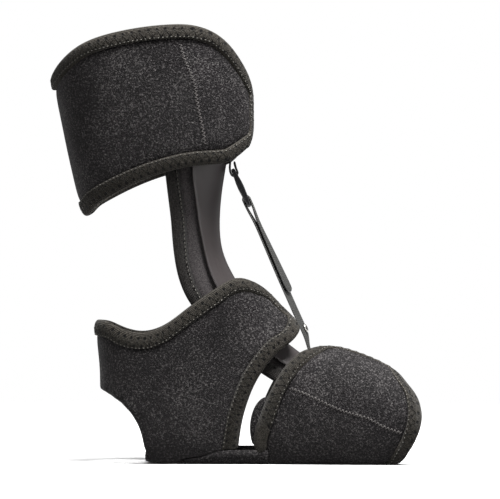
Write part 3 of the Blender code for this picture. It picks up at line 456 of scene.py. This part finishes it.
def tape_material(name, rows, dark, light):
    """Knitted tape with its rows of needle holes."""
    knit, shader = new_material(name)
    place = add(knit, "ShaderNodeTexCoord")
    uv = add(knit, "ShaderNodeUVMap", uv_map="edge")
    axes = add(knit, "ShaderNodeSeparateXYZ", [("Vector", uv, "UV")])
    grain = add(knit, "ShaderNodeTexNoise", [("Vector", place, "Object")],
                Scale=1000 / TAPE_RIB_MM, Detail=3.0, Roughness=0.7)
    tone = add(knit, "ShaderNodeValToRGB", [("Fac", grain, "Fac")])
    tone.color_ramp.elements[0].position = 0.36
    tone.color_ramp.elements[0].color = linear(dark)
    tone.color_ramp.elements[1].position = 0.72
    tone.color_ramp.elements[1].color = linear(light)
    # The map's v counts centimetres, so one wave of the sine is one rib
    ribs = add(knit, "ShaderNodeMath", [(0, axes, "Y")], operation="MULTIPLY")
    ribs.inputs[1].default_value = 20 * math.pi / TAPE_RIB_MM
    wave = add(knit, "ShaderNodeMath", [(0, ribs, "Value")], operation="SINE")
    pits = None
    for across_cm, shift in rows:
        moved = add(knit, "ShaderNodeMath", [(0, axes, "X")], operation="ADD")
        moved.inputs[1].default_value = shift
        turn = add(knit, "ShaderNodeMath", [(0, moved, "Value")], operation="FRACT")
        off = add(knit, "ShaderNodeMath", [(0, turn, "Value")], operation="SUBTRACT")
        off.inputs[1].default_value = 0.5
        off_cm = add(knit, "ShaderNodeMath", [(0, off, "Value")], operation="MULTIPLY")
        off_cm.inputs[1].default_value = STITCH_PITCH * 100
        side = add(knit, "ShaderNodeMath", [(0, axes, "Y")], operation="SUBTRACT")
        side.inputs[1].default_value = across_cm
        both = add(knit, "ShaderNodeCombineXYZ", [("X", off_cm, "Value"), ("Y", side, "Value")])
        gap = add(knit, "ShaderNodeVectorMath", [(0, both, "Vector")], operation="LENGTH")
        pit = add(knit, "ShaderNodeMapRange", [("Value", gap, "Value")], clamp=True,
                  From_Min=PIT_EDGE_CM, From_Max=PIT_FLOOR_CM)
        pits = pit if pits is None else add(
            knit, "ShaderNodeMath", [(0, pits, "Result"), (1, pit, "Result")], operation="MAXIMUM")
    found = "Result" if len(rows) == 1 else "Value"
    # Each needle hole is painted near black in the colour: painted shade in the pit, which the bump also
    # dents
    pit_painted_shade = add(knit, "ShaderNodeMix", [("Factor", pits, found)], data_type="RGBA")
    join(knit, tone, "Color", pit_painted_shade, "A")
    pit_painted_shade.inputs["B"].default_value = linear("#0a0909")
    join(knit, pit_painted_shade, 2, shader, "Base Color")
    ribbed = add(knit, "ShaderNodeMath", [(0, wave, "Value"), (1, grain, "Fac")], operation="MULTIPLY_ADD")
    ribbed.inputs[1].default_value = RIB_SHARE
    join(knit, grain, "Fac", ribbed, 2)
    height = add(knit, "ShaderNodeMath", [(0, ribbed, "Value"), (1, pits, found)], operation="SUBTRACT")
    bump = add(knit, "ShaderNodeBump", [("Height", height, "Value")], Strength=0.9, Distance=0.0006)
    join(knit, bump, "Normal", shader, "Normal")
    shader.inputs["Roughness"].default_value = 0.9
    shader.inputs["Specular IOR Level"].default_value = 0.12
    shader.inputs["Sheen Weight"].default_value = 0.08
    shader.inputs["Sheen Roughness"].default_value = 0.4
    return knit


tape_knit = tape_material("knitted_tape", ZIGZAG_ROWS, "#1a1815", "#4e4a44")


# A vertex that lies no further ahead of the sole strip than this, and no higher above it
# than this, belongs to a tape's end on the strip
END_REACH = 0.004
END_HEIGHT = 0.003
END_SLANT = 0.6
TAPE_CREASE = 0.8


def wrap_tape(name, body_name, title, line, knit, half=WALL_HALF, run_on=0.0):
    """A wrap's edge tape: crisp where it lies on the cloth and rounded where it folds.

    Its ends on the sole strip run on by run_on, down over the strip and a little forwards.
    """
    work = copy_of(name)
    strip_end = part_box("sole_bridge")[1]
    for v in work.verts:
        if v.co.x < strip_end[0] + END_REACH and v.co.z < strip_end[2] + END_HEIGHT:
            v.co += Vector((END_SLANT * run_on, 0.0, -run_on))
    rim = set(border(work, body_name))
    crease = work.edges.layers.float.new("crease_edge")
    for edge in work.edges:
        if all(v in rim for v in edge.verts):
            edge[crease] = TAPE_CREASE
    piece = finished(work, title, knit)
    apply_modifiers(piece)
    edge_map(piece, line, half)
    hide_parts(name)
    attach(piece, "root")
    return piece


calf_tape = wrap_tape("calf_binding", "calf_wrap", "calf_tape", calf_line, tape_knit)


THREAD_TWIST_MM = 0.67


def thread_material(name, dark, light):
    """Spun polyester thread, whose twist is painted as light and dark along it: painted highlight and
    shade on its plies.
    """
    thread, shader = new_material(name)
    place = add(thread, "ShaderNodeTexCoord")
    twist_light_and_shade = add(thread, "ShaderNodeTexNoise", [("Vector", place, "Object")],
                Scale=1000 / THREAD_TWIST_MM, Detail=2.0)
    tone = add(thread, "ShaderNodeValToRGB", [("Fac", twist_light_and_shade, "Fac")])
    tone.color_ramp.elements[0].position = 0.3
    tone.color_ramp.elements[0].color = linear(dark)
    tone.color_ramp.elements[1].position = 0.7
    tone.color_ramp.elements[1].color = linear(light)
    join(thread, tone, "Color", shader, "Base Color")
    shader.inputs["Roughness"].default_value = 0.7
    shader.inputs["Specular IOR Level"].default_value = 0.15
    return thread


dark_thread = thread_material("olive_thread", "#12110f", "#2c2a26")
light_thread = thread_material("pale_thread", "#4c4a46", "#86837d")


THREAD_RADIUS = 0.00028


def stitch(work, start, end):
    """One visible length of thread, a thin rod between two points."""
    span = end - start
    turn = span.to_track_quat("Z", "Y").to_matrix().to_4x4()
    turn.translation = (start + end) / 2
    bmesh.ops.create_cone(work, cap_ends=True, segments=6, radius1=THREAD_RADIUS,
                          radius2=THREAD_RADIUS, depth=span.length, matrix=turn)


def track(border_path):
    """The line's points with the distances between them and its whole length."""
    line, closed = border_path
    spots = [middle for middle, out in line]
    lengths = [(b - a).length for a, b in zip(spots, spots[1:] + spots[:1])]
    if not closed:
        lengths.pop()
    return spots, lengths, sum(lengths)


# Stitches on an open line stop just short of its end. The tape is on that side of the line
# where a point at the probe's distance is nearer to it. A stitch is dropped onto the tape
# from a little outside its face.
SHORT_OF_END = 0.9999
SIDE_PROBE = 0.005
OUTSIDE = 1.3


def on_tape(tree, border_path, along, across, raised, half):
    """The point of the tape's outer face at a distance along the line and across from it."""
    line, closed = border_path
    spots, lengths, total = track(border_path)
    along = along % total if closed else min(along, total * SHORT_OF_END)
    k = 0
    while along > lengths[k]:
        along -= lengths[k]
        k += 1
    after = (k + 1) % len(line)
    share = along / lengths[k]
    middle = spots[k].lerp(spots[after], share)
    out = line[k][1].lerp(line[after][1], share).normalized()
    ahead = (spots[after] - spots[k]).normalized()
    side = ahead.cross(out)
    near = tree.find_nearest(middle + side * SIDE_PROBE)[3]
    far = tree.find_nearest(middle - side * SIDE_PROBE)[3]
    if far < near:
        side = -side
    place, normal, _, _ = tree.find_nearest(middle + side * across + out * half * OUTSIDE)
    return place + normal * raised


# How high the threads stand over the tape's face
ZIGZAG_LIFT = 0.00008
ROW_LIFT = 0.00012


def sewn(tape_piece, line, title, zigzag, rows, half=WALL_HALF):
    """The sewing of an edge tape: a zigzag in dark thread, or rows of single pale stitches."""
    tree = BVHTree.FromObject(tape_piece, bpy.context.evaluated_depsgraph_get())
    total = track(line)[2]
    count = round(total / STITCH_PITCH)
    step = total / count
    work = bmesh.new()
    for k in range(count):
        if zigzag:
            low = on_tape(tree, line, k * step, ZIGZAG_LOW, ZIGZAG_LIFT, half)
            high = on_tape(tree, line, (k + 0.5) * step, ZIGZAG_HIGH, ZIGZAG_LIFT, half)
            after = on_tape(tree, line, (k + 1) * step, ZIGZAG_LOW, ZIGZAG_LIFT, half)
            stitch(work, low, high)
            stitch(work, high, after)
        for across, length in rows:
            for place in (0.0, 0.5):
                start = on_tape(tree, line, (k + place) * step, across, ROW_LIFT, half)
                end = on_tape(tree, line, (k + place) * step + length, across, ROW_LIFT, half)
                stitch(work, start, end)
    piece = finished(work, title, dark_thread if zigzag else light_thread, 0)
    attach(piece, "root")


# A row of single stitches is given by its distance across the tape and a stitch's length
EDGE_ROWS = ((0.0014, 0.0009),)
sewn(calf_tape, calf_line, "calf_zigzag", True, ())
sewn(calf_tape, calf_line, "calf_edge_row", False, EDGE_ROWS)

# Patch seams
# A narrow zigzag in pale thread that holds the hook patch behind the calf flap, and one
# like it along the foot wrap. Each row is a place along x and up z in millimetres.
CALF_SEAM_MM = ((-48.0, 290.0), (-45.0, 279.0), (-41.0, 270.0), (-38.0, 262.5), (-36.5, 251.0),
                (-34.0, 238.0), (-32.0, 229.0), (-31.0, 220.0))
FOOT_SEAM_MM = ((27.7, 53.0), (37.0, 49.5), (46.0, 45.4), (54.4, 41.3), (65.0, 37.0), (72.0, 35.0),
                (81.0, 32.6), (90.0, 27.4), (98.5, 24.0), (105.4, 22.0))
SEAM_WIDTH = 0.0022
SEAM_STEP = 0.0013
SEAM_LIFT = 0.0001
# The rays that find a wrap's near face start so far in front of the middle plane
CAST_FROM = 0.2
seam_thread = thread_material("grey_thread", "#333131", "#6f6b69")


def patch_seam(cloth_piece, route_mm, title):
    """A zigzag seam that lies on the near face of a wrap along a route."""
    tree = BVHTree.FromObject(cloth_piece, bpy.context.evaluated_depsgraph_get())
    route = [Vector((x, 0.0, z)) / 1000 for x, z in route_mm]
    places = []
    for a, b in zip(route, route[1:]):
        steps = max(1, round((b - a).length / SEAM_STEP))
        across = Vector((-(b - a).z, 0.0, (b - a).x)).normalized() * SEAM_WIDTH / 2
        for k in range(steps):
            side = 1 if len(places) % 2 else -1
            places.append(a.lerp(b, k / steps) + across * side)
    work = bmesh.new()
    last = None
    for place in places:
        start = place + Vector((0.0, -CAST_FROM, 0.0))
        spot, normal, _, _ = tree.ray_cast(start, Vector((0.0, 1.0, 0.0)))
        if spot is None:
            last = None
            continue
        here = spot + normal * SEAM_LIFT
        if last is not None:
            stitch(work, last, here)
        last = here
    piece = finished(work, title, seam_thread, 0)
    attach(piece, "root")


patch_seam(calf_body, CALF_SEAM_MM, "calf_seam")

# Ankle wrap and its tape
# The same laminate, wound round the ankle and under the arch and closed over the instep.
# It leaves the heel out at the back.
ankle_body, ankle_line = wrap_body("ankle_wrap", "ankle_binding", "ankle_body")
ankle_tape = wrap_tape("ankle_binding", "ankle_wrap", "ankle_tape", ankle_line, tape_knit)
sewn(ankle_tape, ankle_line, "ankle_zigzag", True, ())
sewn(ankle_tape, ankle_line, "ankle_edge_row", False, EDGE_ROWS)

# Foot wrap and its tape
# The same laminate, wound round the forefoot and closed on top, over the end of the strap.
# The rear tape's ends go down onto the sole strip.
TAPE_RUN_ON = 0.005
foot_body, foot_line = wrap_body("foot_wrap", "foot_binding", "foot_body")
foot_tape = wrap_tape("foot_binding", "foot_wrap", "foot_tape", foot_line, tape_knit,
                      run_on=TAPE_RUN_ON)
sewn(foot_tape, foot_line, "foot_zigzag", True, ())
sewn(foot_tape, foot_line, "foot_edge_row", False, EDGE_ROWS)
patch_seam(foot_body, FOOT_SEAM_MM, "foot_seam")

# Sole strip
# A strip of the same laminate that joins the ankle wrap and the foot wrap under the arch.
# It is sewn to both, so each end runs on a little into its wrap.
SEAM_HOLD = 0.0040
sole_work = copy_of("sole_bridge")
sole_rear = min(v.co.x for v in sole_work.verts)
sole_front = max(v.co.x for v in sole_work.verts)
for v in sole_work.verts:
    if v.co.x < sole_rear + SEAM_HOLD:
        v.co.x -= SEAM_HOLD
    elif v.co.x > sole_front - SEAM_HOLD:
        v.co.x += SEAM_HOLD
sole_strip = finished(sole_work, "sole_strip", pile, 0)
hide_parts("sole_bridge")
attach(sole_strip, "root")

# Shin plate
# One moulded plate of dark grey plastic that holds the foot at a right angle, from the
# shin over the instep to the forefoot, with a satin face and thin edges.
SATIN_GRAIN_MM = 1.4
SATIN_CLOUD_MM = 40
PLATE_EDGE_TURN = math.radians(50)
PLATE_CREASE = 0.75
# Moulded plastic from a finely etched mould, whose grey gleams softly along the bends
satin, satin_shader = new_material("satin_plastic")
satin_place = add(satin, "ShaderNodeTexCoord")
satin_grain = add(satin, "ShaderNodeTexNoise", [("Vector", satin_place, "Object")],
                  Scale=1000 / SATIN_GRAIN_MM, Detail=2.0)
satin_cloud = add(satin, "ShaderNodeTexNoise", [("Vector", satin_place, "Object")],
                  Scale=1000 / SATIN_CLOUD_MM, Detail=2.0)
satin_tone = add(satin, "ShaderNodeValToRGB", [("Fac", satin_cloud, "Fac")])
satin_tone.color_ramp.elements[0].color = linear("#383434")
satin_tone.color_ramp.elements[1].color = linear("#443f3f")
join(satin, satin_tone, "Color", satin_shader, "Base Color")
satin_bump = add(satin, "ShaderNodeBump", [("Height", satin_grain, "Fac")], Strength=0.25,
                 Distance=0.0001)
join(satin, satin_bump, "Normal", satin_shader, "Normal")
satin_shader.inputs["Roughness"].default_value = 0.42
satin_shader.inputs["Specular IOR Level"].default_value = 0.35
plate_work = copy_of("dorsal_shell")
plate_crease = plate_work.edges.layers.float.new("crease_edge")
for edge in plate_work.edges:
    if edge.calc_face_angle(0.0) > PLATE_EDGE_TURN:
        edge[plate_crease] = PLATE_CREASE
shin_plate = finished(plate_work, "shin_plate", satin)
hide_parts("dorsal_shell")
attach(shin_plate, "root")

# Pad and its tape
# A thick pad of foam between woven faces, which lies behind the plate. A rolled tape is
# sewn over its raw edge all round, with one row of stitches.
PAD_YARN_MM = 0.77
PAD_TUCK = 0.0020
PAD_HALF = 0.0035
PAD_ROW = 0.0025
PAD_STITCH = 0.0016
# Fine woven polyester, dull, whose yarns show as small changes of tone
weave, weave_shader = new_material("pad_weave")
weave_place = add(weave, "ShaderNodeTexCoord")
weave_thread = add(weave, "ShaderNodeTexNoise", [("Vector", weave_place, "Object")],
                   Scale=1000 / PAD_YARN_MM, Detail=2.0)
weave_tone = add(weave, "ShaderNodeValToRGB", [("Fac", weave_thread, "Fac")])
weave_tone.color_ramp.elements[0].position = 0.35
weave_tone.color_ramp.elements[0].color = linear("#2a2728")
weave_tone.color_ramp.elements[1].position = 0.7
weave_tone.color_ramp.elements[1].color = linear("#4b4747")
join(weave, weave_tone, "Color", weave_shader, "Base Color")
weave_bump = add(weave, "ShaderNodeBump", [("Height", weave_thread, "Fac")], Strength=0.6,
                 Distance=0.0003)
join(weave, weave_bump, "Normal", weave_shader, "Normal")
weave_shader.inputs["Roughness"].default_value = 0.9
weave_shader.inputs["Specular IOR Level"].default_value = 0.2
weave_shader.inputs["Sheen Weight"].default_value = 0.08
pad_work = copy_of("dorsal_pad")
pad_rim = border(pad_work, "pad_binding")
pad_line = border_line(pad_work, pad_rim)
tuck(pad_work, pad_rim, "pad_binding", PAD_TUCK)
shin_pad = finished(pad_work, "shin_pad", weave)
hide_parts("dorsal_pad")
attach(shin_pad, "root")
pad_knit = tape_material("pad_tape_knit", ((100 * PAD_ROW, 0.0),), "#201f1e", "#454240")
pad_tape = wrap_tape("pad_binding", "dorsal_pad", "pad_tape", pad_line, pad_knit, PAD_HALF)
sewn(pad_tape, pad_line, "pad_edge_row", False, ((PAD_ROW, PAD_STITCH),), PAD_HALF)

# Arch flap
# A short tongue of the wraps' laminate with a rounded end, behind the rear tape of the
# foot wrap. It lies inside the wrap, against the arch.
arch_tongue = finished(copy_of("arch_flap"), "arch_tongue", pile)
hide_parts("arch_flap")
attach(arch_tongue, "root")

# Strap
# Flat woven webbing from the plate on the foot up round the lower bar of the buckle, with
# its tail folded back over it. A short loop of black webbing holds the buckle.
WEBBING_RIB_MM = 1.4
WEBBING_YARN_MM = 0.7


def webbing_material(name, dark, light):
    """Woven polyester webbing: fine ribs level across it, with painted shade in the small gaps between."""
    web, shader = new_material(name)
    place = add(web, "ShaderNodeTexCoord")
    grain = add(web, "ShaderNodeTexNoise", [("Vector", place, "Object")],
                Scale=1000 / WEBBING_YARN_MM, Detail=2.0)
    # At a scale of 1 the wave repeats every pi / 10
    ribs = add(web, "ShaderNodeTexWave", [("Vector", place, "Object")], bands_direction="Z",
               Scale=math.pi / 10 * 1000 / WEBBING_RIB_MM, Distortion=0.4)
    # The ribs' dark gaps in the colour are painted shade; the same ribs dent the bump
    both = add(web, "ShaderNodeMath", [(0, grain, "Fac"), (1, ribs, "Fac")], operation="MULTIPLY")
    tone = add(web, "ShaderNodeValToRGB", [("Fac", both, "Value")])
    tone.color_ramp.elements[0].position = 0.1
    tone.color_ramp.elements[0].color = linear(dark)
    tone.color_ramp.elements[1].position = 0.6
    tone.color_ramp.elements[1].color = linear(light)
    join(web, tone, "Color", shader, "Base Color")
    bump = add(web, "ShaderNodeBump", [("Height", both, "Value")], Strength=0.7, Distance=0.0003)
    join(web, bump, "Normal", shader, "Normal")
    shader.inputs["Roughness"].default_value = 0.6
    return web


# Layers nearer than this are brought together, each by nearly half the gap. A face whose
# normal leans more than this to the side is the strap's narrow edge, and where the faces
# at a vertex cancel out to less than this, it stays.
LAYER_REACH = 0.0021
SKIN = 0.0001
HALF_WAY = 0.48
NARROW_EDGE = 0.5
CANCELLED = 0.5


def lay_flat(work):
    """Brings the layers of a folded strap together where they nearly touch."""
    tree = BVHTree.FromBMesh(work)
    moves = []
    for v in work.verts:
        flats = [f.normal for f in v.link_faces if abs(f.normal.y) < NARROW_EDGE]
        out = sum(flats, Vector())
        if out.length < CANCELLED:
            continue
        out.normalize()
        gap = tree.ray_cast(v.co + out * SKIN, out, LAYER_REACH)[3]
        if gap is not None:
            moves.append((v, out * (gap + SKIN) * HALF_WAY))
    for v, move in moves:
        v.co += move


for node_name, title, web in (
        ("tension_strap", "strap_web", webbing_material("woven_webbing", "#131313", "#50504d")),
        ("strap_anchor", "anchor_web", webbing_material("black_webbing", "#0c0c0c", "#2a2a2a"))):
    strap_work = copy_of(node_name)
    bmesh.ops.recalc_face_normals(strap_work, faces=strap_work.faces[:])
    lay_flat(strap_work)
    strap_piece = finished(strap_work, title, web, 1)
    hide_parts(node_name)
    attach(strap_piece, "root")

# Buckle
# A ladder buckle with two bars, moulded in black plastic. The black webbing loop holds its
# upper bar, and the strap runs round the lower one.
GLOSS_CLOUD_MM = 11
BUCKLE_ROUNDING = 0.0009
# Polished plastic, near black with small sharp highlights
gloss, gloss_shader = new_material("gloss_plastic")
gloss_place = add(gloss, "ShaderNodeTexCoord")
gloss_noise = add(gloss, "ShaderNodeTexNoise", [("Vector", gloss_place, "Object")],
                  Scale=1000 / GLOSS_CLOUD_MM)
gloss_tone = add(gloss, "ShaderNodeValToRGB", [("Fac", gloss_noise, "Fac")])
gloss_tone.color_ramp.elements[0].color = linear("#0d0d0e")
gloss_tone.color_ramp.elements[1].color = linear("#17171a")
join(gloss, gloss_tone, "Color", gloss_shader, "Base Color")
gloss_shader.inputs["Roughness"].default_value = 0.24
ladder_buckle = finished(copy_of("strap_buckle"), "ladder_buckle", gloss, 0)
rounding = ladder_buckle.modifiers.new("rounding", "BEVEL")
rounding.width = BUCKLE_ROUNDING
rounding.segments = 3
rounding.limit_method = "ANGLE"
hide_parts("strap_buckle")
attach(ladder_buckle, "root")

# Rivet
# A domed rivet with a nickel plated head, pressed through the strap's layers near their
# lower end.
NICKEL_CLOUD_MM = 1.1
# Nickel plate, bright and a little cloudy
nickel, nickel_shader = new_material("nickel")
nickel_place = add(nickel, "ShaderNodeTexCoord")
nickel_noise = add(nickel, "ShaderNodeTexNoise", [("Vector", nickel_place, "Object")],
                   Scale=1000 / NICKEL_CLOUD_MM)
nickel_tone = add(nickel, "ShaderNodeValToRGB", [("Fac", nickel_noise, "Fac")])
nickel_tone.color_ramp.elements[0].color = linear("#b5b3ae")
nickel_tone.color_ramp.elements[1].color = linear("#d0cec9")
join(nickel, nickel_tone, "Color", nickel_shader, "Base Color")
nickel_shader.inputs["Metallic"].default_value = 1.0
nickel_shader.inputs["Roughness"].default_value = 0.25
rivet_head = finished(copy_of("strap_rivet"), "rivet_head", nickel)
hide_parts("strap_rivet")
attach(rivet_head, "root")
